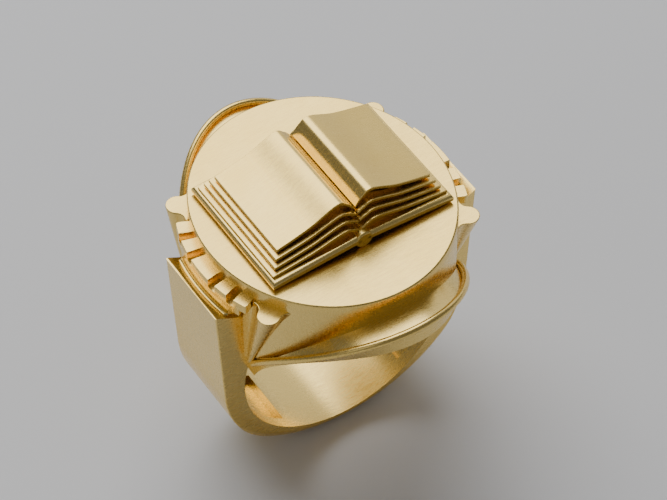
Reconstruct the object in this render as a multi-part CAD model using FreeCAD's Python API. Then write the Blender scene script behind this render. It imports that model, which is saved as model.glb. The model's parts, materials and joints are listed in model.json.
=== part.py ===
import FreeCAD, Part
import math
import os

# Signet ring with an oval bezel and an open-book emblem, built from separate soldered pieces.
# Millimetres. Origin: centre of the finger bore. Y runs along the finger, Z up through the
# bezel, X across the shoulders. Front is -Y, left is -X.

V = FreeCAD.Vector

# ---- driving dimensions -----------------------------------------------------------------
finger_radius = 9.5            # finger bore
band_width = 7.14              # hoop and shoulders, along the finger
base_wall = 1.3                # hoop wall at the bottom of the finger bore
side_wall = 1.8                # radius of the hoop's outer arc beyond the bore's
shoulder_shelf = 0.8           # shoulder beyond its tooth rail, at the top
shoulder_drop = 2.95           # bezel top down to the shoulders' outer edges
shoulder_lip = 0.15            # narrow level strip left along those edges
trough_slope = 30.0            # degrees, shoulder top falling inwards
pedestal_setback = 0.27        # solid part under a rail, short of the band's faces
cove_radius = 0.3              # fillet between a shoulder top and its pedestal
base_half_angle = 31.0         # degrees each side of the bottom covered by the shank base
edge_round = 0.12              # softened outer edges of the shoulders
base_round_excess = 0.1        # rounding of the hoop's lower edges, more than its wall
base_round_centre = 2.5        # where that rounding runs out, above the finger axis

bezel_overhang = 0.5           # half width of the bezel beyond the bore radius
bezel_half_y = 10.9
bezel_top_above_bore = 3.5     # bezel top above the crown of the finger bore
bezel_wall_thickness = 1.3
table_thickness = 1.0
table_edge_break = 0.15
wall_foot_above_saddle = 2.46  # lowest reach of the bezel wall, above the ledge's axis

saddle_inset = 0.3             # radius of the ledge surface less than the bore's
saddle_crown_drop = 2.06       # bezel top down to the crown of the ledge
ledge_side_reach = 0.8         # ends of the ledge beyond the shoulders' faces
ledge_width = 2.3              # ledge in front of the bezel, at the middle
rim_wire_radius = 0.3
rim_wire_sink = 0.04           # how far the wire beds into the ledge

rail_width = 1.0               # radial width of a tooth rail
rail_half_angle = 26.6         # degrees from the X axis, to the end of the last tooth
rail_foot_half_angle = 23.0    # to the end of the solid part under the teeth
rail_end_round = 0.35          # rounded outer corner of the last tooth
tooth_top_drop = 1.25          # bezel top down to the teeth
notch_depth = 0.8
rail_base_height = 0.65
tooth_edges = (6.1, 10.2, 16.7, 20.3)   # degrees: middle tooth, notch, next tooth, notch

claw_top_drop = 1.33
claw_radius = 0.9
claw_from_rail = 1.64          # round the bezel, from the last tooth's end to a claw's middle
claw_lean = 4.553              # degrees a claw faces away from square to the wall
claw_proud = 0.78              # centre of the claw's round end outside the bezel wall
claw_tip_radius = 0.25
claw_tip_inset = 0.2           # tip's centre inside the bore radius
claw_tip_gap = 0.22            # tip's centre short of the end of the ledge
claw_tip_above_saddle = 2.36   # tip above the ledge's axis

pocket_end_wall = 0.97         # metal left at a pocket's front and back ends
pocket_panel_wall = 0.75       # metal left behind a pocket
pocket_lower_angle = 34.0      # degrees from the bottom of the bore
pocket_upper_angle = 70.0
pocket_rib_radius = 0.2

cover_margin = 1.97            # bezel edge beyond a cover's outer edge
cover_half_y = 5.8
cover_thickness = 0.8
cover_rise = 0.45              # cover underside at the spine above the table
spine_radius = 0.75
leaf_thickness = 0.3
leaf_inset_x = (0.27, 0.63, 0.90, 1.21)     # cover beyond each leaf, lowest leaf first
leaf_inset_y = (0.50, 0.80, 1.10, 1.45)
leaf_outer_height = (1.10, 1.55, 2.06, 2.56)
leaf_crest_height = (2.12, 2.75, 3.38, 4.30)
leaf_gutter_height = (1.60, 2.25, 2.75, 3.15)
leaf_crest_x = 1.55
gutter_half_gap = 0.05
page_inset = 0.45              # page blocks set back under the leaf edges
peg_radius = 0.4
peg_clearance = 0.05
peg_spacing = 7.0
peg_tail = 0.6                 # peg length left under the table
peg_head_radius = 0.7
peg_head_height = 0.3

# ---- places that follow from them -------------------------------------------------------
hoop_radius = finger_radius + side_wall
hoop_centre = side_wall - base_wall
half_band = band_width / 2
pedestal_width = band_width - 2 * pedestal_setback
pocket_width = band_width - 2 * pocket_end_wall
base_round = base_wall + base_round_excess

bezel_half_x = finger_radius + bezel_overhang
bezel_top = finger_radius + bezel_top_above_bore
table_under = bezel_top - table_thickness
shoulder_half_span = bezel_half_x + rail_width + shoulder_shelf
shoulder_top = bezel_top - shoulder_drop

saddle_radius = finger_radius - saddle_inset
saddle_centre = bezel_top - saddle_crown_drop - saddle_radius
saddle_half_y = bezel_half_y + ledge_width
ledge_end_y = half_band + ledge_side_reach
saddle_half_x = saddle_radius / math.sqrt(1 - (ledge_end_y / saddle_half_y) ** 2)
wall_foot_height = saddle_centre + wall_foot_above_saddle

tooth_top = bezel_top - tooth_top_drop
notch_floor = tooth_top - notch_depth
rail_bottom = notch_floor - rail_base_height
claw_top = bezel_top - claw_top_drop
claw_angle = rail_half_angle + math.degrees(claw_from_rail / bezel_half_x)
claw_tip_x = finger_radius - claw_tip_inset
claw_tip_y = ledge_end_y - claw_tip_gap
claw_tip_height = saddle_centre + claw_tip_above_saddle

cover_half_x = bezel_half_x - cover_margin
leaf_half_x = [cover_half_x - inset for inset in leaf_inset_x]
leaf_half_y = [cover_half_y - inset for inset in leaf_inset_y]
far = 4 * shoulder_half_span
overshoot = 1.0


def save(name, shape):
    shape.exportStep("parts/" + name + ".step")


def mirrored_x(shape):
    return shape.mirror(V(0, 0, 0), V(1, 0, 0))


def mirrored_y(shape):
    return shape.mirror(V(0, 0, 0), V(0, 1, 0))


def finger_cylinder(radius, centre_height, half_length):
    """Round bar along the finger axis."""
    return Part.makeCylinder(radius, 2 * half_length, V(0, -half_length, centre_height), V(0, 1, 0))


def oval_bar(half_x, half_y, low, high):
    """Upright oval bar with its axes along X and Y."""
    ends = sorted((V(half_x, 0, low), V(0, half_y, low)), key=lambda end: -math.hypot(end.x, end.y))
    ellipse = Part.Ellipse(ends[0], ends[1], V(0, 0, low))
    face = Part.Face(Part.Wire(ellipse.toShape()))
    return face.extrude(V(0, 0, high - low))


def side_prism(points, half_length):
    """Extrusion along the finger of a straight-sided outline in X and Z."""
    corners = [V(x, -half_length, z) for x, z in points]
    wire = Part.makePolygon(corners + [corners[0]])
    return Part.Face(wire).extrude(V(0, 2 * half_length, 0))


def sector(start, end, low, high):
    """Upright wedge between two directions from the X axis, in degrees."""
    corners = [V(0, 0, low)]
    for angle in (start, (start + end) / 2, end):
        turn = math.radians(angle)
        corners.append(V(far * math.cos(turn), far * math.sin(turn), low))
    wire = Part.makePolygon(corners + [corners[0]])
    return Part.Face(wire).extrude(V(0, 0, high - low))


def hoop_bar():
    """Solid of the hoop and shoulders before any opening is cut."""
    reach = math.hypot(shoulder_half_span, shoulder_top - hoop_centre)
    lift = math.atan2(shoulder_top - hoop_centre, shoulder_half_span)
    touch = lift - math.acos(hoop_radius / reach)
    touch_x = hoop_radius * math.cos(touch)
    touch_z = hoop_centre + hoop_radius * math.sin(touch)
    y = -half_band
    left_top = V(-shoulder_half_span, y, shoulder_top)
    right_top = V(shoulder_half_span, y, shoulder_top)
    left_touch = V(-touch_x, y, touch_z)
    right_touch = V(touch_x, y, touch_z)
    bottom = V(0, y, hoop_centre - hoop_radius)
    edges = [
        Part.LineSegment(left_top, left_touch).toShape(),
        Part.Arc(left_touch, bottom, right_touch).toShape(),
        Part.LineSegment(right_touch, right_top).toShape(),
        Part.LineSegment(right_top, left_top).toShape(),
    ]
    bar = Part.Face(Part.Wire(edges)).extrude(V(0, band_width, 0))
    rim = [edge for edge in bar.Edges if runs_along_hoop_side(edge)]
    return bar.makeFillet(edge_round, rim).cut(base_trim())


def base_trim():
    """What is cut off the hoop's lower edges: all outside a round-edged bar that touches the bottom."""
    radius = base_round_centre - (hoop_centre - hoop_radius)
    half = half_band + 0.02 * base_round
    bar = finger_cylinder(radius, base_round_centre, half)
    rims = [edge for edge in bar.Edges if edge.BoundBox.YLength < 0.001]
    bar = bar.makeFillet(base_round, rims)
    below = Part.makeBox(2 * far, 2 * half_band, far, V(-far, -half_band, base_round_centre - far))
    return below.cut(bar)


def runs_along_hoop_side(edge):
    """True for the edges where the outer surface meets the front or back face."""
    box = edge.BoundBox
    on_side = box.YLength < 0.001
    below_top = box.ZMin < shoulder_top - 0.001
    return on_side and below_top


def finger_space():
    """Finger bore with the saddle's place above it."""
    bore = finger_cylinder(finger_radius, 0, far)
    saddle_bar = finger_cylinder(saddle_radius, saddle_centre, far)
    return bore.fuse(saddle_bar)


def base_wedge():
    """Wedge at the bottom that separates the shank base from the shoulders."""
    spread = far * math.tan(math.radians(base_half_angle))
    return side_prism([(0, 0), (-spread, -far), (spread, -far)], band_width)


def bezel_bar(extra=0.0):
    """Oval bar of the bezel, down to the foot of its wall."""
    return oval_bar(bezel_half_x + extra, bezel_half_y + extra, wall_foot_height, bezel_top)


def right_shoulder():
    """Side panel, hollowed from the finger side, with the pedestal of its tooth rail."""
    bar = hoop_bar().cut(Part.makeBox(far, 2 * far, 2 * far, V(-far, -far, -far)))
    slope = math.tan(math.radians(trough_slope))
    lip = shoulder_half_span - shoulder_lip
    trough = side_prism([
        (-overshoot, shoulder_top - slope * (lip + overshoot)),
        (lip + overshoot, shoulder_top + slope * overshoot),
        (-overshoot, shoulder_top + slope * overshoot),
    ], band_width)
    bar = bar.cut(trough)
    pedestal = oval_bar(bezel_half_x + rail_width, bezel_half_y + rail_width, 0, rail_bottom)
    under_rail = Part.makeBox(far, pedestal_width, far, V(0, -pedestal_width / 2, wall_foot_height))
    bar = bar.fuse(pedestal.common(under_rail)).removeSplitter()
    bar = bar.makeFillet(cove_radius, [edge for edge in bar.Edges if is_cove_edge(edge)])
    bar = bar.cut(bezel_bar()).cut(base_wedge())
    bar = bar.cut(finger_cylinder(finger_radius, 0, far))
    bar = bar.cut(finger_cylinder(saddle_radius, saddle_centre, far))
    return largest(bar.cut(pocket()).removeSplitter())


def is_cove_edge(edge):
    """True for the curved edge between the pedestal wall and the sloping shoulder top."""
    middle = edge.valueAt((edge.FirstParameter + edge.LastParameter) / 2)
    half_x = bezel_half_x + rail_width
    half_y = bezel_half_y + rail_width
    on_wall = abs((middle.x / half_x) ** 2 + (middle.y / half_y) ** 2 - 1) < 0.002
    below_rail = middle.z < rail_bottom - 0.01
    return on_wall and below_rail and edge.BoundBox.YLength > pedestal_width / 2


def pocket():
    """Hollow cut into a shoulder from the finger bore."""
    depth = hoop_radius - pocket_panel_wall
    solid = finger_cylinder(depth, hoop_centre, pocket_width / 2)
    low = math.radians(pocket_lower_angle)
    high = math.radians(pocket_upper_angle)
    wedge = side_prism([
        (0, 0),
        (far * math.sin(low), -far * math.cos(low)),
        (far, -far * math.cos(low)),
        (far * math.sin(high), -far * math.cos(high)),
    ], half_band)
    return solid.common(wedge)


def pocket_rib():
    """Small curved rib on the back of a pocket."""
    depth = hoop_radius - pocket_panel_wall
    middle = math.radians((pocket_lower_angle + pocket_upper_angle) / 2)
    swing = math.radians(5)
    length = pocket_width / 3

    def at(angle, y):
        return V(depth * math.sin(angle), y, hoop_centre - depth * math.cos(angle))

    path = Part.Arc(at(middle - swing, -length), at(middle, 0), at(middle - swing, length)).toShape()
    start = path.valueAt(path.FirstParameter)
    along = path.tangentAt(path.FirstParameter)
    ring = Part.Wire(Part.Circle(start, along, pocket_rib_radius).toShape())
    rib = Part.Wire(path).makePipeShell([ring], True, False)
    return rib.common(pocket())


def shank_base():
    """Bottom of the hoop, the piece a jeweller changes to size the ring."""
    return hoop_bar().cut(finger_space()).common(base_wedge())


def finger_saddle():
    """Curved gallery over the finger, its ends square to its surface."""
    shell = finger_cylinder(saddle_radius, saddle_centre, saddle_half_y + overshoot)
    shell = shell.cut(finger_cylinder(finger_radius, 0, far))
    return shell.common(saddle_outline())


def saddle_outline():
    """Fan of sections from the axis of the ledge, as long as its oval plan outline."""
    sections = []
    steps = 22
    for step in range(steps + 1):
        turn = math.radians(88) * (2 * step / steps - 1)
        half = saddle_half_y * math.sqrt(1 - (saddle_radius * math.sin(turn) / saddle_half_x) ** 2)
        corners = []
        for reach, y in ((0.7, -half), (1.1, -half), (1.1, half), (0.7, half)):
            radius = reach * saddle_radius
            corners.append(V(radius * math.sin(turn), y, saddle_centre + radius * math.cos(turn)))
        sections.append(Part.makePolygon(corners + [corners[0]]))
    return Part.makeLoft(sections, True, False)


def bezel_wall():
    """Upright oval wall standing on the saddle."""
    outer = oval_bar(bezel_half_x, bezel_half_y, wall_foot_height, table_under)
    core = oval_bar(
        bezel_half_x - bezel_wall_thickness,
        bezel_half_y - bezel_wall_thickness,
        wall_foot_height - overshoot,
        table_under + overshoot,
    )
    wall = outer.cut(core)
    return wall.cut(finger_cylinder(saddle_radius, saddle_centre, far))


def bezel_table():
    """Flat oval top plate with holes for the emblem pegs."""
    plate = oval_bar(bezel_half_x, bezel_half_y, table_under, bezel_top)
    top_edge = [edge for edge in plate.Edges if edge.BoundBox.ZMin > bezel_top - 0.001]
    plate = plate.makeChamfer(table_edge_break, top_edge)
    for x in peg_places():
        hole = Part.makeCylinder(peg_radius + peg_clearance, table_thickness, V(x, 0, table_under))
        plate = plate.cut(hole)
    return plate


def peg_places():
    return (-peg_spacing / 2, peg_spacing / 2)


def rim_wire_point(x):
    radius = saddle_radius + rim_wire_radius - rim_wire_sink
    y = saddle_half_y * math.sqrt(1 - (x / saddle_half_x) ** 2)
    z = saddle_centre + math.sqrt(radius ** 2 - x ** 2)
    return V(x, y, z)


def back_rim_wire():
    """Round wire along the back edge of the ledge."""
    count = 24
    end_turn = math.asin(saddle_radius / (saddle_radius + rim_wire_radius - rim_wire_sink))
    points = []
    for step in range(count + 1):
        turn = end_turn * (2 * step / count - 1)
        points.append(rim_wire_point((saddle_radius + rim_wire_radius - rim_wire_sink) * math.sin(turn)))
    curve = Part.BSplineCurve()
    curve.interpolate(points)
    path = curve.toShape()
    ring = Part.Wire(Part.Circle(points[0], path.tangentAt(path.FirstParameter), rim_wire_radius).toShape())
    wire = Part.Wire(path).makePipeShell([ring], True, False)
    wire = wire.cut(finger_cylinder(saddle_radius, saddle_centre, far)).cut(hoop_bar())
    return largest(wire.cut(bezel_bar()))


def right_tooth_rail():
    """Curved strip of five teeth between the claws of one side."""
    outline = oval_bar(bezel_half_x + rail_width, bezel_half_y + rail_width, rail_bottom, tooth_top)
    strip = outline.common(sector(-rail_half_angle, rail_half_angle, rail_bottom, tooth_top))
    strip = strip.cut(bezel_bar())
    corners = [edge for edge in strip.Edges if is_rail_corner(edge)]
    strip = strip.makeFillet(rail_end_round, corners)
    for side in (-1, 1):
        start = side * rail_foot_half_angle
        strip = strip.cut(sector(start, start + side * rail_half_angle, rail_bottom, notch_floor))
    middle, notch_end, tooth_end, last_notch = tooth_edges
    for start, end in ((middle, notch_end), (tooth_end, last_notch)):
        notch = sector(start, end, notch_floor, tooth_top)
        strip = strip.cut(notch).cut(mirrored_y(notch))
    return strip


def is_rail_corner(edge):
    """True for the upright edges at the outer corners of a rail."""
    box = edge.BoundBox
    upright = box.ZLength > 0.5 and box.XLength < 0.001 and box.YLength < 0.001
    reach = math.hypot(box.XMin / (bezel_half_x + rail_width), box.YMin / (bezel_half_y + rail_width))
    return upright and abs(reach - 1) < 0.001


def claw_section(centre, outward, radius, height):
    """Outline of a claw: round outer end, flaring where it meets the bezel wall."""
    side = V(-outward.y, outward.x, 0)
    base = V(centre.x, centre.y, height)

    def at(out, across):
        return base + outward * (out * radius) + side * (across * radius)

    root = -1.6
    flare = -0.85
    edges = [
        Part.LineSegment(at(root, 1.75), at(flare, 1.75)).toShape(),
        Part.Arc(at(flare, 1.75), at(-0.55, 1.12), at(0, 1)).toShape(),
        Part.Arc(at(0, 1), at(1, 0), at(0, -1)).toShape(),
        Part.Arc(at(0, -1), at(-0.55, -1.12), at(flare, -1.75)).toShape(),
        Part.LineSegment(at(flare, -1.75), at(root, -1.75)).toShape(),
        Part.LineSegment(at(root, -1.75), at(root, 1.75)).toShape(),
    ]
    return Part.Wire(edges)


def claw_back_right():
    """Claw that tapers from its flat top to a point beside the shoulder."""
    turn = math.radians(claw_angle)
    wall = 1 / math.hypot(math.cos(turn) / bezel_half_x, math.sin(turn) / bezel_half_y)
    foot = V(wall * math.cos(turn), wall * math.sin(turn), 0)
    square = math.atan2(foot.y / bezel_half_y ** 2, foot.x / bezel_half_x ** 2)
    facing = square + math.radians(claw_lean)
    outward = V(math.cos(facing), math.sin(facing), 0)
    top_centre = foot + outward * claw_proud
    tip_centre = V(claw_tip_x, claw_tip_y, 0)
    top = claw_section(top_centre, outward, claw_radius, claw_top)
    tip = claw_section(tip_centre, outward, claw_tip_radius, claw_tip_height)
    claw = Part.makeLoft([tip, top], True, True)
    claw = claw.cut(bezel_bar()).cut(hoop_bar()).cut(finger_cylinder(saddle_radius, saddle_centre, far))
    claw = claw.cut(right_tooth_rail()).cut(back_rim_wire())
    return largest(claw)


def largest(shape):
    return max(shape.Solids, key=lambda solid: solid.Volume)


def spine():
    """Rounded back of the book, lying on the table under the covers."""
    return finger_cylinder(spine_radius, bezel_top + spine_radius, cover_half_y)


def right_cover():
    """Cover board with rounded edges, sloping from the spine down to the table."""
    under_spine = bezel_top + cover_rise
    board = side_prism([
        (0, under_spine),
        (cover_half_x, bezel_top),
        (cover_half_x, bezel_top + cover_thickness),
        (0, under_spine + cover_thickness),
    ], cover_half_y)
    rounded = [edge for edge in board.Edges if is_cover_rim(edge)]
    board = board.makeFillet(cover_thickness * 0.45, rounded)
    return board.cut(spine())


def is_cover_rim(edge):
    """True for the long edges at the outer, front and back rims of a cover board."""
    box = edge.BoundBox
    at_outer = box.XMin > cover_half_x - 0.001 and box.YLength > cover_half_y
    at_end = box.YLength < 0.001 and box.XLength > cover_half_x / 2
    return at_outer or at_end


def leaf_top_curve(layer, drop=0.0):
    """Upper line of a leaf: out of the gutter, over a crest and down to the outer edge."""
    outer_x = leaf_half_x[layer]
    crest = leaf_crest_height[layer]
    outer = leaf_outer_height[layer]
    gutter = leaf_gutter_height[layer]
    rise_x = leaf_crest_x * 0.4
    fall_x = leaf_crest_x + 0.45 * (outer_x - leaf_crest_x)
    line = [
        (gutter_half_gap, gutter),
        (rise_x, gutter + 0.6 * (crest - gutter)),
        (leaf_crest_x, crest),
        (fall_x, outer + 0.42 * (crest - outer)),
        (outer_x, outer),
    ]
    points = [V(x, 0, bezel_top + z - drop) for x, z in line]
    curve = Part.BSplineCurve()
    curve.interpolate(points)
    return curve, points


def leaf(layer):
    """One leaf group of the open book, right side."""
    upper, upper_points = leaf_top_curve(layer)
    lower, lower_points = leaf_top_curve(layer, leaf_thickness)
    edges = [
        upper.toShape(),
        Part.LineSegment(upper_points[-1], lower_points[-1]).toShape(),
        lower.toShape(),
        Part.LineSegment(lower_points[0], upper_points[0]).toShape(),
    ]
    face = Part.Face(Part.Wire(Part.__sortEdges__(edges)))
    half = leaf_half_y[layer]
    face.translate(V(0, -half, 0))
    leaf_bar = face.extrude(V(0, 2 * half, 0)).cut(spine())
    if layer == 0:
        leaf_bar = largest(leaf_bar.cut(right_cover()))
    return leaf_bar


def page_layer(layer):
    """Inset block of pages between one leaf and what lies under it, right side."""
    upper, upper_points = leaf_top_curve(layer, leaf_thickness)
    start = upper_points[0]
    end = upper_points[-1]
    floor = bezel_top
    edges = [
        upper.toShape(),
        Part.LineSegment(end, V(end.x, 0, floor)).toShape(),
        Part.LineSegment(V(end.x, 0, floor), V(start.x, 0, floor)).toShape(),
        Part.LineSegment(V(start.x, 0, floor), start).toShape(),
    ]
    half = leaf_half_y[layer] - page_inset
    face = Part.Face(Part.Wire(edges))
    face.translate(V(0, -half, 0))
    block = face.extrude(V(0, 2 * half, 0))
    block = block.common(Part.makeBox(leaf_half_x[layer] - page_inset, far, far, V(0, -far / 2, 0)))
    return block


def under_line(layer):
    """Everything below the top line of a leaf, used to trim the page block above it."""
    upper, upper_points = leaf_top_curve(layer)
    start = upper_points[0]
    end = upper_points[-1]
    edges = [
        upper.toShape(),
        Part.LineSegment(end, V(far, 0, end.z)).toShape(),
        Part.LineSegment(V(far, 0, end.z), V(far, 0, 0)).toShape(),
        Part.LineSegment(V(far, 0, 0), V(start.x, 0, 0)).toShape(),
        Part.LineSegment(V(start.x, 0, 0), start).toShape(),
    ]
    face = Part.Face(Part.Wire(edges))
    face.translate(V(0, -far / 2, 0))
    return face.extrude(V(0, far, 0))


def right_page_block():
    """The inset page layers, one under each leaf."""
    layers = []
    for layer in range(len(leaf_half_x)):
        block = page_layer(layer)
        if layer == 0:
            block = block.cut(right_cover()).cut(spine())
            under = side_prism([
                (0, 0),
                (far, 0),
                (far, bezel_top),
                (cover_half_x, bezel_top + cover_thickness / 2),
                (0, bezel_top + cover_rise + cover_thickness / 2),
            ], far)
            block = block.cut(under)
        else:
            block = block.cut(under_line(layer - 1)).cut(leaf(layer - 1))
        layers.append(largest(block))
    return Part.makeCompound(layers)


def emblem_pegs():
    """Two pegs from the covers through the table, spread at their lower ends."""
    pegs = []
    for x in peg_places():
        length = table_thickness + peg_tail
        start = table_under - peg_tail
        shaft = Part.makeCylinder(peg_radius, length + cover_rise + cover_thickness, V(x, 0, start))
        head = Part.makeCylinder(peg_head_radius, peg_head_height, V(x, 0, start))
        pegs.append(shaft.fuse(head).cut(covers_pair()).removeSplitter())
    return Part.makeCompound([largest(peg) for peg in pegs])


def covers_pair():
    """Space above the cover undersides, where a peg ends."""
    above = side_prism([
        (0, bezel_top + cover_rise),
        (cover_half_x, bezel_top),
        (cover_half_x, far),
        (-cover_half_x, far),
        (-cover_half_x, bezel_top),
    ], cover_half_y)
    return above


def main():
    os.makedirs("parts", exist_ok=True)
    save("shank_base", shank_base())
    save("finger_saddle", finger_saddle())
    save("bezel_wall", bezel_wall())
    save("bezel_table", bezel_table())
    save("book_spine", spine())
    save("emblem_pegs", emblem_pegs())

    wire = back_rim_wire()
    save("back_rim_wire", wire)
    save("front_rim_wire", mirrored_y(wire))

    claw = claw_back_right()
    save("claw_back_right", claw)
    save("claw_back_left", mirrored_x(claw))
    save("claw_front_right", mirrored_y(claw))
    save("claw_front_left", mirrored_x(mirrored_y(claw)))

    sided = {
        "shoulder": right_shoulder(),
        "pocket_rib": pocket_rib(),
        "tooth_rail": right_tooth_rail(),
        "cover": right_cover(),
        "page_block": right_page_block(),
    }
    for layer in range(len(leaf_half_x)):
        sided["leaf_" + str(layer + 1)] = leaf(layer)
    for name, shape in sided.items():
        save("right_" + name, shape)
        save("left_" + name, mirrored_x(shape))


main()
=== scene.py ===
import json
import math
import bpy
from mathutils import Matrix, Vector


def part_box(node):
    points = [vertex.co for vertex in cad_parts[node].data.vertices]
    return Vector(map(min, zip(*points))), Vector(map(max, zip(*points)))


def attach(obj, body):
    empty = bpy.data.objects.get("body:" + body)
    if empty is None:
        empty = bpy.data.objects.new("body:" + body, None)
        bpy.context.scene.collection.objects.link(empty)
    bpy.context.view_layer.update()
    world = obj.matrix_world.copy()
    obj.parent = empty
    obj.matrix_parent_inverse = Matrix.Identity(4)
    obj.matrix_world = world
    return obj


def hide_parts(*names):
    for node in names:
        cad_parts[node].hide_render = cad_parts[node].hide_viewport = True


bl_info = {
    "name": "Signet Ring",
    "version": (1, 0, 0),
    "blender": (4, 5, 0),
    "location": "View3D > Sidebar > Ring",
    "description": "Builds a gold signet ring with an open-book emblem, and its studio",
    "category": "Add Mesh",
}

import bmesh
import bpy
from mathutils import Matrix, Vector

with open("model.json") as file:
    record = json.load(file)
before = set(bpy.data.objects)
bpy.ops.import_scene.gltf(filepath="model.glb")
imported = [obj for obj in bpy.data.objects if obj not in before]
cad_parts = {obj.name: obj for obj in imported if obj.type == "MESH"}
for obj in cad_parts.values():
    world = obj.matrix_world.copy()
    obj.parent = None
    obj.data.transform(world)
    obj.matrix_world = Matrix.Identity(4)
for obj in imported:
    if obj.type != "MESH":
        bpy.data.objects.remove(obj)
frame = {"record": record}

# Pieces are shaped in millimetres and brought to metres when they are finished.
MM = 0.001
BODY = "root"
GOLD = "polished_gold"
# Material of the recesses; its dark tone is painted shade.
RECESS_SHADE = "recess_gold"
FINISH = "_finish"

# Working values in millimetres and degrees.
TRIM = 0.6                  # how far a cut runs past what it trims
WELD = 0.0005               # vertices closer than this are one
NEAR = 0.01                 # how close a vertex is to count as on a face
SHARP_BEND = 22             # least bend of an edge that is rounded
SMOOTH_BEND = 32            # greatest bend that is shaded smooth
FINE_SIDES = 360            # sides of the bars that cut the bore and the ledge
TUCK = 1.0                  # how far the shoulders run in behind the bezel's outside

PANEL_WALL = 0.75           # metal left behind a hollow
HOLLOW_LOW = 34             # a hollow's ends, from straight down
HOLLOW_HIGH = 70
HOLLOW_HALF = 2.6
RIDGE_MIDDLE = 52           # the ridge on the back of a hollow, from straight down
RIDGE_SWING = 5
RIDGE_HALF = 1.7
RIDGE_RADIUS = 0.2
PEDESTAL_LOW = 8.0          # box that bounds a pedestal
PEDESTAL_HIGH = 12.0
PEDESTAL_IN = 9.2
PEDESTAL_OUT = 13.0
WIRE_HALF_SPAN = 9.2
WALL_FOOT = 4.2             # lowest reach of the bezel's wall
TABLE_ROUND = 0.14
TOOTH_GAPS = ((6.1, 10.2), (16.7, 20.3))
RAIL_END_ROUND = 0.35
TOOTH_ROUND = 0.05
CLAW_TURN = 36              # a claw's direction from the X axis
CLAW_TIP = (9.3, 4.15)
CLAW_TIP_RADIUS = 0.25
CLAW_TIP_HEIGHT = 4.1
CLAW_ROUND = 0.1
COVER_START = 0.3           # inner edge of a cover, inside the spine
SPINE_RADIUS = 0.75
SPINE_ROUND = 0.2
LEAF_ROUND = 0.06


def box_mm(node):
    low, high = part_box(node)
    return Vector(low) / MM, Vector(high) / MM


TABLE_LOW, TABLE_HIGH = box_mm("bezel_table")
BASE_LOW, BASE_HIGH = box_mm("shank_base")
RAIL_LOW, RAIL_HIGH = box_mm("right_tooth_rail")
SADDLE_HIGH = box_mm("finger_saddle")[1]
CLAW_HIGH = box_mm("claw_back_right")[1]
COVER_HIGH = box_mm("right_cover")[1]


def length(label, description, millimetres):
    return bpy.props.FloatProperty(
        name=label, description=description, default=millimetres * MM,
        min=0.0, precision=5, unit="LENGTH", subtype="DISTANCE")


def turn(label, description, degrees):
    return bpy.props.FloatProperty(
        name=label, description=description, default=math.radians(degrees),
        min=0.0, unit="ROTATION", subtype="ANGLE")


def colour(label, description, rgb):
    return bpy.props.FloatVectorProperty(
        name=label, description=description, default=rgb,
        min=0.0, max=1.0, size=3, subtype="COLOR")


def share(label, description, value):
    return bpy.props.FloatProperty(
        name=label, description=description, default=value, min=0.0, max=1.0, subtype="FACTOR")


class RingSizes(bpy.types.PropertyGroup):
    bore_radius: length("Bore radius", "Half the inner diameter for the finger", 9.5)
    hoop_radius: length("Hoop radius", "Radius of the hoop's outer arc", 11.3)
    base_wall: length("Base wall", "Hoop thickness under the finger", 1.3)
    band_half: length("Half band", "Half the hoop's width along the finger", BASE_HIGH.y)
    edge_round: length("Edge rounding", "Softened outer edges of the shoulders", 0.12)
    base_round: length("Base rounding", "Rounding of the hoop's edges at the bottom", 1.4)
    base_round_height: length("Base rounding axis", "Where that rounding runs out", 2.5)
    base_turn: turn("Base angle", "Half angle covered by the shank base", 31.0)
    shoulder_span: length("Shoulder span", "Finger axis to a shoulder's outer top edge", 11.8)
    shoulder_top: length("Shoulder top", "Height of that edge over the finger axis", 10.05)
    trough_turn: turn("Trough slope", "Fall of a shoulder's top towards the bezel", 30.0)
    lip: length("Lip", "Level strip left along the shoulder's top edge", 0.15)
    bezel_x: length("Bezel half width", "Across the finger", TABLE_HIGH.x)
    bezel_y: length("Bezel half length", "Along the finger", TABLE_HIGH.y)
    bezel_top: length("Bezel top", "Height over the finger axis", TABLE_HIGH.z)
    table_under: length("Table underside", "Height over the finger axis", TABLE_LOW.z)
    bezel_wall: length("Bezel wall", "Thickness of the bezel's wall", 1.3)
    saddle_radius: length("Saddle radius", "Ledge surface around the finger", 9.2)
    saddle_crown: length("Saddle crown", "Highest line of the ledge", SADDLE_HIGH.z)
    saddle_x: length("Saddle half width", "Plan outline across the finger", 9.75)
    saddle_y: length("Saddle half length", "Plan outline along the finger", SADDLE_HIGH.y)
    wire_radius: length("Wire radius", "Radius of the rim wires", 0.3)
    wire_sink: length("Wire sink", "How far a rim wire beds into the ledge", 0.04)
    rail_width: length("Rail width", "Radial width of a tooth rail", 1.0)
    tooth_top: length("Tooth top", "Height over the finger axis", RAIL_HIGH.z)
    rail_bottom: length("Rail underside", "Height over the finger axis", RAIL_LOW.z)
    rail_end: turn("Rail end", "From the X axis to the end of the last tooth", 26.6)
    rail_foot: turn("Rail foot", "From the X axis to the end of the part under the teeth", 23.0)
    notch_depth: length("Notch depth", "Depth of the gaps between teeth", 0.8)
    pedestal_half: length("Half pedestal", "Half the solid part under a rail", 3.3)
    cove: length("Cove", "Hollow rounding between a shoulder's top and its pedestal", 0.5)
    claw_top: length("Claw top", "Height over the finger axis", CLAW_HIGH.z)
    claw_radius: length("Claw radius", "Round outer end of a claw", 0.9)
    claw_proud: length("Claw reach", "Centre of the round end outside the wall", 0.78)
    cover_x: length("Cover half width", "Spine line to a cover's outer edge", COVER_HIGH.x)
    cover_y: length("Cover half length", "Along the spine", COVER_HIGH.y)
    cover_thick: length("Cover thickness", "Height of a cover's rolled edge", 0.8)
    cover_rise: length("Cover rise", "Cover underside over the table at the spine", 0.45)
    leaf_thick: length("Leaf thickness", "Thickness of one leaf group", 0.3)


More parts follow.
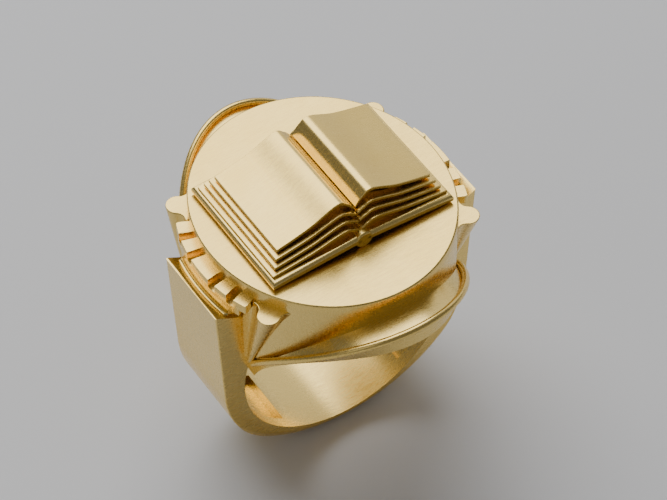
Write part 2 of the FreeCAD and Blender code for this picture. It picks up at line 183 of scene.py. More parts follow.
class RingColours(bpy.types.PropertyGroup):
    gold: colour("Gold", "Polished yellow gold", (0.82, 0.56, 0.14))
    # Paler tone: random patches, plus a painted highlight on convex edges.
    gold_pale_and_edge_highlight: colour("Worn gold", "Paler tone in patches and on edges", (0.90, 0.66, 0.22))
    # Painted shade: a dark gold that stands in for the shade in hollows.
    gold_painted_shade: colour("Deep gold", "Darker tone in hollows", (0.30, 0.20, 0.07))
    floor: colour("Floor", "Plain pale floor", (0.76, 0.76, 0.77))
    polish: share("Polish", "Roughness of the polished faces", 0.27)


def size(name):
    """A ring size in millimetres."""
    return getattr(bpy.context.scene.ring_sizes, name) / MM


# ---- working steps ----------------------------------------------------------------------

def clear_selection():
    for other in list(bpy.context.selected_objects):
        other.select_set(False)


def pick(piece):
    clear_selection()
    piece.select_set(True)
    bpy.context.view_layer.objects.active = piece


def to_edit(piece):
    pick(piece)
    bpy.ops.object.mode_set(mode="EDIT")
    bpy.ops.mesh.select_all(action="SELECT")


def to_object():
    bpy.ops.object.mode_set(mode="OBJECT")


def outline_solid(corners, rise):
    """A flat outline extruded into a solid."""
    clear_selection()
    bpy.ops.mesh.primitive_circle_add(vertices=len(corners), radius=1.0, fill_type="NGON")
    piece = bpy.context.object
    for vertex, corner in zip(piece.data.vertices, corners):
        vertex.co = corner
    to_edit(piece)
    bpy.ops.mesh.extrude_region_move(TRANSFORM_OT_translate={"value": tuple(rise)})
    bpy.ops.mesh.select_all(action="SELECT")
    bpy.ops.mesh.normals_make_consistent(inside=False)
    to_object()
    return piece


def finger_bar(radius, height, half, sides=240):
    """A round bar along the finger axis."""
    clear_selection()
    bpy.ops.mesh.primitive_cylinder_add(vertices=sides, radius=radius, depth=2 * half,
                                        location=(0, 0, height), rotation=(math.pi / 2, 0, 0))
    piece = bpy.context.object
    bpy.ops.object.transform_apply(location=True, rotation=True, scale=True)
    return piece


def oval_bar(half_x, half_y, low, high, sides=288):
    """An upright oval bar."""
    clear_selection()
    bpy.ops.mesh.primitive_cylinder_add(vertices=sides, radius=1.0, depth=high - low,
                                        location=(0, 0, (low + high) / 2))
    piece = bpy.context.object
    piece.scale = (half_x, half_y, 1.0)
    bpy.ops.object.transform_apply(location=True, rotation=True, scale=True)
    return piece


def combine(piece, tool, operation):
    modifier = piece.modifiers.new("Join", "BOOLEAN")
    modifier.object = tool
    modifier.operation = operation
    modifier.solver = "MANIFOLD"
    pick(piece)
    bpy.ops.object.modifier_apply(modifier=modifier.name)
    mesh = tool.data
    bpy.data.objects.remove(tool, do_unlink=True)
    bpy.data.meshes.remove(mesh)
    if not piece.data.polygons:
        raise RuntimeError("nothing is left of " + piece.name)


def cut(piece, tool):
    combine(piece, tool, "DIFFERENCE")


def soften(piece, width, segments, chosen):
    """Rounds the sharp edges whose two ends the rule accepts."""
    to_edit(piece)
    bpy.ops.mesh.select_mode(type="EDGE")
    bpy.ops.mesh.select_all(action="DESELECT")
    shape = bmesh.from_edit_mesh(piece.data)
    for edge in shape.edges:
        if len(edge.link_faces) != 2:
            continue
        bend = edge.calc_face_angle(0.0)
        edge.select = bend > math.radians(SHARP_BEND) and chosen(edge.verts[0].co, edge.verts[1].co)
    bmesh.update_edit_mesh(piece.data)
    bpy.ops.mesh.bevel(offset=width, segments=segments, profile=0.5, affect="EDGES",
                       clamp_overlap=False)
    bpy.ops.mesh.select_all(action="SELECT")
    bpy.ops.mesh.remove_doubles(threshold=WELD)
    bpy.ops.mesh.select_mode(type="VERT")
    to_object()


def merge(piece):
    """Joins doubled vertices and turns the faces outwards."""
    to_edit(piece)
    bpy.ops.mesh.remove_doubles(threshold=WELD)
    bpy.ops.mesh.normals_make_consistent(inside=False)
    to_object()


def twin(piece, flip):
    """A mirrored copy with its own mesh."""
    copy = piece.copy()
    copy.data = piece.data.copy()
    bpy.context.scene.collection.objects.link(copy)
    for vertex in copy.data.vertices:
        vertex.co = Vector((vertex.co.x * flip[0], vertex.co.y * flip[1], vertex.co.z))
    if flip[0] * flip[1] < 0:
        to_edit(copy)
        bpy.ops.mesh.flip_normals()
        to_object()
    return copy


def finish_piece(piece, name, replaced, material=GOLD):
    piece.name = name
    piece.data.name = name
    pick(piece)
    piece.scale = (MM, MM, MM)
    bpy.ops.object.transform_apply(location=True, rotation=True, scale=True)
    bpy.ops.object.shade_smooth_by_angle(angle=math.radians(SMOOTH_BEND))
    even = piece.modifiers.new("Even", "WEIGHTED_NORMAL")
    even.keep_sharp = True
    bpy.ops.object.modifier_apply(modifier=even.name)
    piece.data.materials.clear()
    piece.data.materials.append(bpy.data.materials[material + FINISH])
    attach(piece, BODY)
    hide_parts(*replaced)
    clear_selection()


def arc(radius, height, start, end, steps):
    """Points on a circle around the finger axis; angles from straight down, towards the right."""
    points = []
    for step in range(steps + 1):
        angle = start + (end - start) * step / steps
        points.append((radius * math.sin(angle), height - radius * math.cos(angle)))
    return points


def smooth_line(knots, steps):
    """A smooth line through the knots."""
    points = []
    count = len(knots)
    for index in range(count - 1):
        before = Vector(knots[max(index - 1, 0)])
        start = Vector(knots[index])
        end = Vector(knots[index + 1])
        after = Vector(knots[min(index + 2, count - 1)])
        for step in range(steps):
            t = step / steps
            points.append(0.5 * (
                2 * start + (end - before) * t
                + (2 * before - 5 * start + 4 * end - after) * t ** 2
                + (3 * start - before - 3 * end + after) * t ** 3))
    points.append(Vector(knots[-1]))
    return points


# ---- the hoop ---------------------------------------------------------------------------

def hoop_height():
    return size("hoop_radius") - size("bore_radius") - size("base_wall")


def saddle_height():
    return size("saddle_crown") - size("saddle_radius")


def section_solid(points, half):
    corners = [Vector((x, -half, z)) for x, z in points]
    return outline_solid(corners, Vector((0, 2 * half, 0)))


def shoulder_outline():
    height = hoop_height()
    radius = size("hoop_radius")
    bore = size("bore_radius")
    span = size("shoulder_span")
    top = size("shoulder_top")
    reach = math.hypot(span, top - height)
    lift = math.atan2(top - height, span)
    touch = math.pi / 2 + lift - math.acos(radius / reach)
    base = size_turn("base_turn")
    inner_x = size("bezel_x") - TUCK
    seam_out = outer_seam(base, radius, height)
    start = math.atan2(seam_out[0], height - seam_out[1])
    meet = saddle_meets_bore()
    side = arc(radius, height, start, touch, 48)
    crest = top + TRIM
    lean = (span - side[-1][0]) / (top - side[-1][1])
    outline = [(inner_x, crest), (span + lean * TRIM, crest)]
    outline += list(reversed(side))
    outline += arc(bore, 0.0, base, math.pi - math.atan2(meet[0], meet[1]), 64)
    rise = math.sqrt(size("saddle_radius") ** 2 - inner_x ** 2)
    outline.append((inner_x, saddle_height() + rise))
    return outline


def shoulder_trough():
    """What is cut off above the shoulder's lip and its sloping top."""
    top = size("shoulder_top")
    edge = size("shoulder_span") - size("lip")
    inner_x = size("bezel_x") - TUCK - TRIM
    slope = math.tan(size_turn("trough_turn"))
    outline = [(inner_x, top - slope * (edge - inner_x)), (edge, top), (edge + 2 * TRIM, top),
               (edge + 2 * TRIM, top + 2 * TRIM), (inner_x, top + 2 * TRIM)]
    return section_solid(outline, size("band_half") + TRIM)


def size_turn(name):
    return getattr(bpy.context.scene.ring_sizes, name)


def outer_seam(angle, radius, height):
    """Where a line from the finger axis, its angle from straight down, leaves the hoop."""
    direction = Vector((math.sin(angle), -math.cos(angle)))
    along = direction.y * height
    reach = along + math.sqrt(along ** 2 + radius ** 2 - height ** 2)
    return direction * reach


def saddle_meets_bore():
    """Where the ledge surface crosses the bore."""
    height = saddle_height()
    bore = size("bore_radius")
    z = (bore ** 2 - size("saddle_radius") ** 2 + height ** 2) / (2 * height)
    return math.sqrt(bore ** 2 - z ** 2), z


def on_hoop_side(a, b):
    """Edges between the hoop's outside and its front or back face."""
    half = size("band_half")
    level = all(abs(abs(p.y) - half) < NEAR for p in (a, b)) and abs(a.y - b.y) < NEAR
    least = size("hoop_radius") - 2 * NEAR
    outside = all(math.hypot(p.x, p.z - hoop_height()) > least for p in (a, b))
    return level and outside and min(a.z, b.z) < size("shoulder_top") - NEAR


def round_base(piece):
    """Trims the hoop's lower edges round."""
    height = size("base_round_height")
    radius = height + size("hoop_radius") - hoop_height()
    half = size("band_half") + 0.02 * size("base_round")
    bar = finger_bar(radius, height, half, FINE_SIDES)
    soften(bar, size("base_round"), 12, lambda a, b: abs(a.y - b.y) < 0.001)
    ends = 20.0
    below = section_solid([(-ends, height), (ends, height), (ends, height - ends),
                           (-ends, height - ends)], half + 0.5)
    cut(below, bar)
    cut(piece, below)


class RING_OT_shank_base(bpy.types.Operator):
    """Bottom of the hoop"""
    bl_idname = "ring.shank_base"
    bl_label = "Shank Base"

    def execute(self, context):
        radius = size("hoop_radius")
        base = size_turn("base_turn")
        corner = outer_seam(base, radius, hoop_height())
        start = math.atan2(corner.x, hoop_height() - corner.y)
        outline = arc(radius, hoop_height(), -start, start, 48)
        outline += list(reversed(arc(size("bore_radius"), 0.0, -base, base, 48)))
        piece = section_solid(outline, size("band_half"))
        round_base(piece)
        merge(piece)
        finish_piece(piece, "shank_base_round", ["shank_base"])
        return {"FINISHED"}


class RING_OT_shoulders(bpy.types.Operator):
    """Side panels with their hollows and the pedestals under the tooth rails"""
    bl_idname = "ring.shoulders"
    bl_label = "Shoulders"

    def execute(self, context):
        piece = section_solid(shoulder_outline(), size("band_half"))
        soften(piece, size("edge_round"), 3, on_hoop_side)
        round_base(piece)
        cut(piece, shoulder_trough())
        cut(piece, self.hollow())
        width = size("rail_width")
        pedestal = oval_bar(size("bezel_x") + width, size("bezel_y") + width,
                            PEDESTAL_LOW, size("rail_bottom") + 0.1)
        keep = section_solid([(PEDESTAL_IN, PEDESTAL_LOW), (PEDESTAL_OUT, PEDESTAL_LOW),
                              (PEDESTAL_OUT, PEDESTAL_HIGH), (PEDESTAL_IN, PEDESTAL_HIGH)],
                             size("pedestal_half"))
        combine(pedestal, keep, "INTERSECT")
        combine(piece, pedestal, "UNION")
        merge(piece)
        soften(piece, size("cove"), 8, self.in_cove)
        left = twin(piece, (-1, 1))
        finish_piece(piece, "right_shoulder_panel", ["right_shoulder"])
        finish_piece(left, "left_shoulder_panel", ["left_shoulder"])
        return {"FINISHED"}

    def in_cove(self, a, b):
        """The curved edge between the shoulder's sloping top and the pedestal."""
        wide_x = size("bezel_x") + size("rail_width")
        wide_y = size("bezel_y") + size("rail_width")
        on_wall = all(abs(math.hypot(p.x / wide_x, p.y / wide_y) - 1) < 0.002 for p in (a, b))
        below = max(a.z, b.z) < size("rail_bottom") - NEAR
        return on_wall and below and abs(a.y - b.y) > NEAR

    def hollow(self):
        """A wedge from near the finger axis out to the back of the hollow."""
        depth = size("hoop_radius") - PANEL_WALL
        outline = [(0.5, -1.0)]
        outline += arc(depth, hoop_height(),
                       math.radians(HOLLOW_LOW), math.radians(HOLLOW_HIGH), 40)
        return section_solid(outline, HOLLOW_HALF)


class RING_OT_pocket_ribs(bpy.types.Operator):
    """Small curved ribs on the backs of the shoulder hollows"""
    bl_idname = "ring.pocket_ribs"
    bl_label = "Pocket Ribs"

    def execute(self, context):
        depth = size("hoop_radius") - PANEL_WALL
        middle = math.radians(RIDGE_MIDDLE)
        swing = math.radians(RIDGE_SWING)
        steps = 24
        points = []
        for step in range(steps + 1):
            across = 2 * step / steps - 1
            angle = middle - swing * across ** 2
            points.append(Vector((depth * math.sin(angle), RIDGE_HALF * across,
                                  hoop_height() - depth * math.cos(angle))))
        rib = round_wire(points, RIDGE_RADIUS)
        left = twin(rib, (-1, 1))
        finish_piece(rib, "right_pocket_ridge", ["right_pocket_rib"])
        finish_piece(left, "left_pocket_ridge", ["left_pocket_rib"])
        return {"FINISHED"}


def round_wire(points, radius):
    """A round wire through the points, closed at its ends."""
    curve = bpy.data.curves.new("wire", "CURVE")
    curve.dimensions = "3D"
    spline = curve.splines.new("POLY")
    spline.points.add(len(points) - 1)
    for knot, point in zip(spline.points, points):
        knot.co = (point.x, point.y, point.z, 1.0)
    curve.bevel_depth = radius
    curve.bevel_resolution = 6
    curve.use_fill_caps = True
    wire = bpy.data.objects.new("wire", curve)
    bpy.context.scene.collection.objects.link(wire)
    pick(wire)
    bpy.ops.object.convert(target="MESH")
    wire = bpy.context.object
    merge(wire)
    return wire


# ---- the gallery and the bezel ----------------------------------------------------------

class RING_OT_finger_saddle(bpy.types.Operator):
    """Curved gallery over the finger, seen as a ledge front and back"""
    bl_idname = "ring.finger_saddle"
    bl_label = "Finger Saddle"

    def execute(self, context):
        piece = self.fan()
        bar = finger_bar(size("saddle_radius"), saddle_height(), size("saddle_y") + 1.0, FINE_SIDES)
        combine(piece, bar, "INTERSECT")
        cut(piece, finger_bar(size("bore_radius"), 0.0, size("saddle_y") + 2.0, FINE_SIDES))
        merge(piece)
        finish_piece(piece, "finger_saddle_gallery", ["finger_saddle"])
        return {"FINISHED"}

    def fan(self):
        """Sections from the ledge's axis outwards, as long as the oval plan outline."""
        radius = size("saddle_radius")
        steps = 120
        clear_selection()
        bpy.ops.mesh.primitive_grid_add(x_subdivisions=steps, y_subdivisions=3, size=2.0)
        piece = bpy.context.object
        rings = ((0.7, -1), (1.1, -1), (1.1, 1), (0.7, 1))
        for vertex in piece.data.vertices:
            swing = math.radians(88) * vertex.co.x
            reach, side = rings[round((vertex.co.y + 1) * 1.5)]
            across = radius * math.sin(swing) / size("saddle_x")
            half = size("saddle_y") * math.sqrt(1 - across ** 2)
            vertex.co = Vector((reach * radius * math.sin(swing), side * half,
                                saddle_height() + reach * radius * math.cos(swing)))
        to_edit(piece)
        bpy.ops.mesh.select_mode(type="EDGE")
        bpy.ops.mesh.select_all(action="DESELECT")
        shape = bmesh.from_edit_mesh(piece.data)
        low = 0.75 * radius
        for edge in shape.edges:
            middle = (edge.verts[0].co + edge.verts[1].co) / 2
            inner = math.hypot(middle.x, middle.z - saddle_height()) < low
            along = abs(edge.verts[0].co.y - edge.verts[1].co.y)
            edge.select = edge.is_boundary and inner and along < 1.0
        bmesh.update_edit_mesh(piece.data)
        bpy.ops.mesh.bridge_edge_loops()
        bpy.ops.mesh.select_all(action="SELECT")
        bpy.ops.mesh.select_mode(type="EDGE")
        bpy.ops.mesh.select_all(action="DESELECT")
        shape = bmesh.from_edit_mesh(piece.data)
        for edge in shape.edges:
            edge.select = edge.is_boundary
        bmesh.update_edit_mesh(piece.data)
        bpy.ops.mesh.fill_holes(sides=0)
        bpy.ops.mesh.select_all(action="SELECT")
        bpy.ops.mesh.normals_make_consistent(inside=False)
        bpy.ops.mesh.select_mode(type="VERT")
        to_object()
        return piece


class RING_OT_rim_wires(bpy.types.Operator):
    """Round wires along the ledges' edges"""
    bl_idname = "ring.rim_wires"
    bl_label = "Rim Wires"

    def execute(self, context):
        radius = size("saddle_radius") + size("wire_radius") - size("wire_sink")
        end = math.asin(WIRE_HALF_SPAN / radius)
        steps = 120
        points = []
        for step in range(steps + 1):
            angle = end * (2 * step / steps - 1)
            x = radius * math.sin(angle)
            y = size("saddle_y") * math.sqrt(1 - (x / size("saddle_x")) ** 2)
            points.append(Vector((x, y, saddle_height() + radius * math.cos(angle))))
        back = round_wire(points, size("wire_radius"))
        front = twin(back, (1, -1))
        finish_piece(back, "back_rim_bead", ["back_rim_wire"])
        finish_piece(front, "front_rim_bead", ["front_rim_wire"])
        return {"FINISHED"}


class RING_OT_bezel(bpy.types.Operator):
    """Oval bezel: wall and flat table"""
    bl_idname = "ring.bezel"
    bl_label = "Bezel"

    def execute(self, context):
        x = size("bezel_x")
        y = size("bezel_y")
        wall_thick = size("bezel_wall")
        wall = oval_bar(x, y, WALL_FOOT, size("table_under"))
        cut(wall, oval_bar(x - wall_thick, y - wall_thick, 3.0, size("bezel_top")))
        cut(wall, finger_bar(size("saddle_radius") - 0.02, saddle_height(), 14.0, FINE_SIDES))
        merge(wall)
        finish_piece(wall, "bezel_wall_oval", ["bezel_wall"])
        table = oval_bar(x, y, size("table_under"), size("bezel_top"))
        top = size("bezel_top")
        soften(table, TABLE_ROUND, 3, lambda a, b: min(a.z, b.z) > top - NEAR)
        finish_piece(table, "bezel_table_oval", ["bezel_table"])
        return {"FINISHED"}


def oval_point(out, angle):
    """Point of the bezel's oval, moved out by a distance, in a direction from the X axis."""
    x = size("bezel_x") + out
    y = size("bezel_y") + out
    radius = 1 / math.hypot(math.cos(angle) / x, math.sin(angle) / y)
    return Vector((radius * math.cos(angle), radius * math.sin(angle)))


def rail_block(start, end, inner, outer, low, high, steps):
    """A block that follows the bezel's oval between two directions from the X axis."""
    corners = []
    for step in range(steps + 1):
        point = oval_point(outer, start + (end - start) * step / steps)
        corners.append(Vector((point.x, point.y, low)))
    for step in range(steps + 1):
        point = oval_point(inner, end + (start - end) * step / steps)
        corners.append(Vector((point.x, point.y, low)))
    return outline_solid(corners, Vector((0, 0, high - low)))


class RING_OT_tooth_rails(bpy.types.Operator):
    """Rails of five square teeth between the claws"""
    bl_idname = "ring.tooth_rails"
    bl_label = "Tooth Rails"

    def execute(self, context):
        top = size("tooth_top")
        floor = top - size("notch_depth")
        end = size_turn("rail_end")
        foot = size_turn("rail_foot")
        width = size("rail_width")
        rail = rail_block(-end, end, -0.1, width, floor - 0.001, top, 60)
        soften(rail, RAIL_END_ROUND, 6,
               lambda a, b: abs(a.z - b.z) > 0.5 and math.hypot(a.x, a.y) > 10.6)
        rail_foot = rail_block(-foot, foot, -0.1, width, size("rail_bottom"), floor, 60)
        combine(rail, rail_foot, "UNION")
        for start, stop in TOOTH_GAPS:
            for side in (-1, 1):
                gap = rail_block(side * math.radians(start), side * math.radians(stop),
                                 -1.0, width + 1.0, floor, top + 1.0, 8)
                cut(rail, gap)
        merge(rail)
        soften(rail, TOOTH_ROUND, 2, lambda a, b: min(a.z, b.z) > top - NEAR)
        left = twin(rail, (-1, 1))
        finish_piece(rail, "right_tooth_row", ["right_tooth_rail"])
        finish_piece(left, "left_tooth_row", ["left_tooth_rail"])
        return {"FINISHED"}


class RING_OT_claws(bpy.types.Operator):
    """Round-ended claws that taper to a point beside the shoulders"""
    bl_idname = "ring.claws"
    bl_label = "Claws"

    def execute(self, context):
        radius = size("claw_radius")
        angle = math.radians(CLAW_TURN)
        outward = Vector((math.cos(angle), math.sin(angle)))
        wall = oval_point(0.0, angle)
        centre = wall + outward * size("claw_proud")
        section = self.section()
        top = [self.place(p, centre, outward, radius) for p in section]
        tip = [self.place(p, Vector(CLAW_TIP), outward, CLAW_TIP_RADIUS) for p in section]
        height = size("claw_top")
        corners = [Vector((p.x, p.y, height)) for p in top]
        piece = outline_solid(corners, Vector((0, 0, -(height - CLAW_TIP_HEIGHT))))
        count = len(section)
        mesh = piece.data
        for vertex in mesh.vertices:
            if vertex.co.z < height - 0.1:
                nearest = min(range(count), key=lambda k: (top[k] - vertex.co.xy).length)
                vertex.co = Vector((tip[nearest].x, tip[nearest].y, CLAW_TIP_HEIGHT))
        soften(piece, CLAW_ROUND, 3, lambda a, b: min(a.z, b.z) > height - NEAR)
        flips = {"back_right": (1, 1), "back_left": (-1, 1),
                 "front_right": (1, -1), "front_left": (-1, -1)}
        for place, flip in flips.items():
            copy = twin(piece, flip)
            finish_piece(copy, "claw_" + place + "_fang", ["claw_" + place])
        mesh = piece.data
        bpy.data.objects.remove(piece, do_unlink=True)
        bpy.data.meshes.remove(mesh)
        return {"FINISHED"}

    def section(self):
        """Outline in claw radii: out along the claw, across it."""
        steps = 24
        points = []
        for step in range(steps + 1):
            swing = math.radians(-90 + 180 * step / steps)
            points.append((math.cos(swing), math.sin(swing)))
        flare = [(-0.15, 1.01), (-0.35, 1.06), (-0.55, 1.18), (-0.72, 1.38), (-0.85, 1.7)]
        points += flare
        points += [(-1.1, 1.7), (-1.1, -1.7)]
        points += [(out, -across) for out, across in reversed(flare)]
        return points

    def place(self, point, centre, outward, radius):
        """A point of the section, set at a claw's centre and facing outwards."""
        side = Vector((-outward.y, outward.x))
        return centre + outward * (point[0] * radius) + side * (point[1] * radius)


# ---- the book ---------------------------------------------------------------------------

LEAF_HALF_X = (7.76, 7.40, 7.13, 6.82)
LEAF_HALF_Y = (5.3, 5.0, 4.7, 4.35)
LEAF_OUTER = (1.10, 1.55, 2.06, 2.56)
LEAF_CREST = (2.12, 2.75, 3.38, 4.30)
LEAF_GUTTER = (1.60, 2.25, 2.75, 3.15)
CREST_X = 1.55
GUTTER_X = 0.05


def leaf_line(layer):
    """Upper line of a leaf: out of the gutter, over a crest and down to the outer edge."""
    outer_x = LEAF_HALF_X[layer]
    crest = LEAF_CREST[layer]
    outer = LEAF_OUTER[layer]
    gutter = LEAF_GUTTER[layer]
    knots = [
        (GUTTER_X, gutter),
        (CREST_X * 0.4, gutter + 0.6 * (crest - gutter)),
        (CREST_X, crest),
        (CREST_X + 0.45 * (outer_x - CREST_X), outer + 0.42 * (crest - outer)),
        (outer_x, outer),
    ]
    return smooth_line(knots, 12)


class RING_OT_book_covers(bpy.types.Operator):
    """Cover boards with rolled edges, and the rounded spine"""
    bl_idname = "ring.book_covers"
    bl_label = "Book Covers"

    def execute(self, context):
        top = size("bezel_top")
        half_x = size("cover_x")
        half_y = size("cover_y")
        thick = size("cover_thick")
        rise = size("cover_rise")
        cover = section_solid([(COVER_START, top + rise), (half_x, top), (half_x, top + thick),
                               (COVER_START, top + rise + thick)], half_y)

        def on_end(a, b):
            return abs(abs(a.y) - half_y) < NEAR and abs(a.y - b.y) < NEAR

        def on_rim(a, b):
            outer = min(a.x, b.x) > half_x - NEAR
            return (outer and abs(a.z - b.z) < NEAR) or (on_end(a, b) and abs(a.x - b.x) > 1.0)

        soften(cover, thick * 0.42, 6, on_rim)
        left = twin(cover, (-1, 1))
        finish_piece(cover, "right_cover_board", ["right_cover"])
        finish_piece(left, "left_cover_board", ["left_cover"])

        spine = finger_bar(SPINE_RADIUS, top + SPINE_RADIUS, half_y, 64)
        soften(spine, SPINE_ROUND, 4, on_end)
        finish_piece(spine, "book_spine_round", ["book_spine"])
        return {"FINISHED"}


class RING_OT_book_leaves(bpy.types.Operator):
    """Curved leaves of the open book"""
    bl_idname = "ring.book_leaves"
    bl_label = "Book Leaves"

    def execute(self, context):
        top = size("bezel_top")
        thick = size("leaf_thick")
        for layer in range(len(LEAF_HALF_X)):
            upper = leaf_line(layer)
            outline = [(p.x, top + p.y) for p in upper]
            outline += [(p.x, top + p.y - thick) for p in reversed(upper)]
            half = LEAF_HALF_Y[layer]
            leaf = section_solid(outline, half)

            def on_rim(a, b):
                end = abs(abs(a.y) - half) < NEAR and abs(a.y - b.y) < NEAR
                outer = min(a.x, b.x) > LEAF_HALF_X[layer] - NEAR and abs(a.x - b.x) < NEAR
                return (end or outer) and max(a.x, b.x) > 0.1

            soften(leaf, LEAF_ROUND, 2, on_rim)
            left = twin(leaf, (-1, 1))
            number = str(layer + 1)
            finish_piece(leaf, "right_leaf_" + number + "_curved", ["right_leaf_" + number])
            finish_piece(left, "left_leaf_" + number + "_curved", ["left_leaf_" + number])
        return {"FINISHED"}


# ---- finish of the metal ----------------------------------------------------------------

def add(tree, kind, place, **inputs):
    """A shader node with some of its inputs set."""
    node = tree.nodes.new(kind)
    node.location = place
    for name, value in inputs.items():
        node.inputs[name.replace("_", " ")].default_value = value
    return node


def make_gold(name, base, pale_and_highlight, roughness, grain):
    """Yellow gold with brushed polishing marks, a cloudy tone in random patches, and a painted
    highlight of paler gold on convex edges.
    """
    material = bpy.data.materials.new(name + FINISH)
    material.use_nodes = True
    tree = material.node_tree
    shader = tree.nodes["Principled BSDF"]
    shader.inputs["Metallic"].default_value = 1.0
    place = add(tree, "ShaderNodeTexCoord", (-1500, 0))
    patches = add(tree, "ShaderNodeTexNoise", (-900, 200), Scale=260.0, Detail=4.0, Roughness=0.6)
    stretch = add(tree, "ShaderNodeMapping", (-1200, -200), Scale=(1.0, 7.0, 3.0),
                  Rotation=(0.3, 0.2, 0.6))
    marks = add(tree, "ShaderNodeTexNoise", (-900, -100), Scale=900.0, Detail=6.0, Roughness=0.7)
    tree.links.new(place.outputs["Object"], patches.inputs["Vector"])
    tree.links.new(place.outputs["Object"], stretch.inputs["Vector"])
    tree.links.new(stretch.outputs["Vector"], marks.inputs["Vector"])
    tone = add(tree, "ShaderNodeMix", (-500, 400))
    tone.data_type = "RGBA"
    tone.inputs[6].default_value = (*base, 1.0)
    tone.inputs[7].default_value = (*pale_and_highlight, 1.0)
    shape = add(tree, "ShaderNodeNewGeometry", (-1200, 600))
    # Painted highlight: convex edges, found by pointiness, take the paler tone.
    edges = add(tree, "ShaderNodeMapRange", (-900, 600))
    edges.inputs["From Min"].default_value = 0.52
    edges.inputs["From Max"].default_value = 0.62
    tree.links.new(shape.outputs["Pointiness"], edges.inputs["Value"])
    blend = add(tree, "ShaderNodeMath", (-700, 500))
    blend.operation = "ADD"
    blend.use_clamp = True
    tree.links.new(patches.outputs["Fac"], blend.inputs[0])
    tree.links.new(edges.outputs["Result"], blend.inputs[1])
    tree.links.new(blend.outputs["Value"], tone.inputs[0])
    tree.links.new(tone.outputs[2], shader.inputs["Base Color"])
    gloss = add(tree, "ShaderNodeMapRange", (-500, 0))
    gloss.inputs["From Min"].default_value = 0.35
    gloss.inputs["From Max"].default_value = 0.65
    gloss.inputs["To Min"].default_value = roughness - 0.04
    gloss.inputs["To Max"].default_value = roughness + 0.05
    tree.links.new(marks.outputs["Fac"], gloss.inputs["Value"])
    tree.links.new(gloss.outputs["Result"], shader.inputs["Roughness"])
    bump = add(tree, "ShaderNodeBump", (-250, -250), Strength=grain, Distance=0.00002)
    tree.links.new(marks.outputs["Fac"], bump.inputs["Height"])
    tree.links.new(bump.outputs["Normal"], shader.inputs["Normal"])
    return material


class RING_OT_metals(bpy.types.Operator):
    """Polished gold, and a darker gold for the recesses whose dark tone is painted shade"""
    bl_idname = "ring.metals"
    bl_label = "Metals"

    def execute(self, context):
        colours = context.scene.ring_colours
        make_gold(GOLD, colours.gold, colours.gold_pale_and_edge_highlight, colours.polish, 0.012)
        # The recess material's dark base colour is painted shade; its paler tone is the polished
        # gold.
        make_gold(RECESS_SHADE, colours.gold_painted_shade, colours.gold, 0.42, 0.1)
        for part in frame["record"]["subparts"]:
            piece = bpy.data.objects.get(part["node"])
            if piece is None:
                continue
            piece.data.materials.clear()
            piece.data.materials.append(bpy.data.materials[part["material_slot"] + FINISH])
        return {"FINISHED"}


# ---- the studio -------------------------------------------------------------------------

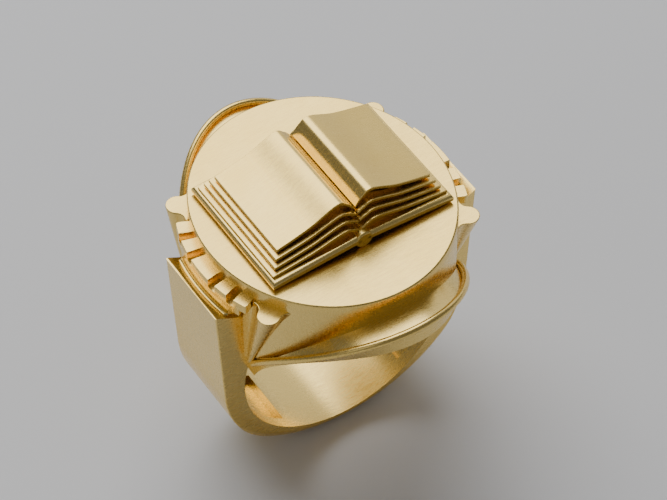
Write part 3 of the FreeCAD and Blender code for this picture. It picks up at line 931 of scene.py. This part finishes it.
class RING_OT_studio(bpy.types.Operator):
    """Pale floor, soft lights and the camera"""
    bl_idname = "ring.studio"
    bl_label = "Studio"

    def execute(self, context):
        clear_selection()
        low = BASE_LOW.z * MM
        bpy.ops.mesh.primitive_plane_add(size=4.0, location=(0, 0, low - 0.00002))
        floor = context.object
        floor.name = "studio_floor"
        material = bpy.data.materials.new("floor_paint")
        material.use_nodes = True
        shader = material.node_tree.nodes["Principled BSDF"]
        shader.inputs["Base Color"].default_value = (*context.scene.ring_colours.floor, 1.0)
        shader.inputs["Roughness"].default_value = 0.6
        floor.data.materials.append(material)
        self.sky(context)
        self.lamp("key", (0.035, 0.275, 0.415), (0, 0, 0.01), 0.55, 2.2)
        self.lamp("right", (0.46, 0.32, 0.21), (0, 0, 0.01), 0.45, 0.35)
        self.lamp("left", (-0.40, -0.10, 0.30), (0, 0, 0.0), 0.30, 0.10)
        self.camera(context)
        return {"FINISHED"}

    def sky(self, context):
        world = bpy.data.worlds.new("studio")
        context.scene.world = world
        world.use_nodes = True
        background = world.node_tree.nodes["Background"]
        background.inputs["Color"].default_value = (0.75, 0.76, 0.78, 1.0)
        background.inputs["Strength"].default_value = 0.22

    def lamp(self, name, place, aim, width, power):
        light = bpy.data.lights.new(name, "AREA")
        light.shape = "DISK"
        light.size = width
        light.energy = power
        lamp = bpy.data.objects.new(name, light)
        lamp.location = place
        lamp.rotation_euler = (Vector(place) - Vector(aim)).to_track_quat("Z", "Y").to_euler()
        bpy.context.scene.collection.objects.link(lamp)

    def camera(self, context):
        azimuth = math.radians(-33.3)
        elevation = math.radians(49.65)
        lens = bpy.data.cameras.new("studio_camera")
        lens.sensor_width = 36.0
        lens.lens = 151.1
        lens.clip_start = 0.01
        camera = bpy.data.objects.new("studio_camera", lens)
        back = Vector((math.sin(azimuth) * math.cos(elevation),
                       -math.cos(azimuth) * math.cos(elevation), math.sin(elevation)))
        right = Vector((math.cos(azimuth), math.sin(azimuth), 0))
        up = back.cross(right)
        rotation = Matrix((right, up, back)).transposed().to_4x4()
        place = Vector((-0.07606, -0.11732, 0.15851 + size("bezel_top") * MM))
        camera.matrix_world = Matrix.Translation(place) @ rotation
        context.scene.collection.objects.link(camera)
        context.scene.camera = camera


class RING_PT_panel(bpy.types.Panel):
    """Sizes, colours and steps of the ring"""
    bl_idname = "RING_PT_panel"
    bl_label = "Signet Ring"
    bl_space_type = "VIEW_3D"
    bl_region_type = "UI"
    bl_category = "Ring"

    def draw(self, context):
        layout = self.layout
        for step in STEPS:
            layout.operator(step.bl_idname)
        for group in (context.scene.ring_sizes, context.scene.ring_colours):
            box = layout.box()
            for name in group.bl_rna.properties.keys():
                if name not in ("rna_type", "name"):
                    box.prop(group, name)


STEPS = (
    RING_OT_metals,
    RING_OT_shank_base,
    RING_OT_shoulders,
    RING_OT_pocket_ribs,
    RING_OT_finger_saddle,
    RING_OT_rim_wires,
    RING_OT_bezel,
    RING_OT_tooth_rails,
    RING_OT_claws,
    RING_OT_book_covers,
    RING_OT_book_leaves,
    RING_OT_studio,
)
CLASSES = (RingSizes, RingColours) + STEPS + (RING_PT_panel,)


def register():
    for item in CLASSES:
        bpy.utils.register_class(item)
    bpy.types.Scene.ring_sizes = bpy.props.PointerProperty(type=RingSizes)
    bpy.types.Scene.ring_colours = bpy.props.PointerProperty(type=RingColours)


def unregister():
    del bpy.types.Scene.ring_colours
    del bpy.types.Scene.ring_sizes
    for item in reversed(CLASSES):
        bpy.utils.unregister_class(item)


def main():
    register()
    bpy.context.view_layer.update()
    for step in STEPS:
        group, name = step.bl_idname.split(".")
        getattr(getattr(bpy.ops, group), name)()


if __name__ == "__main__":
    main()
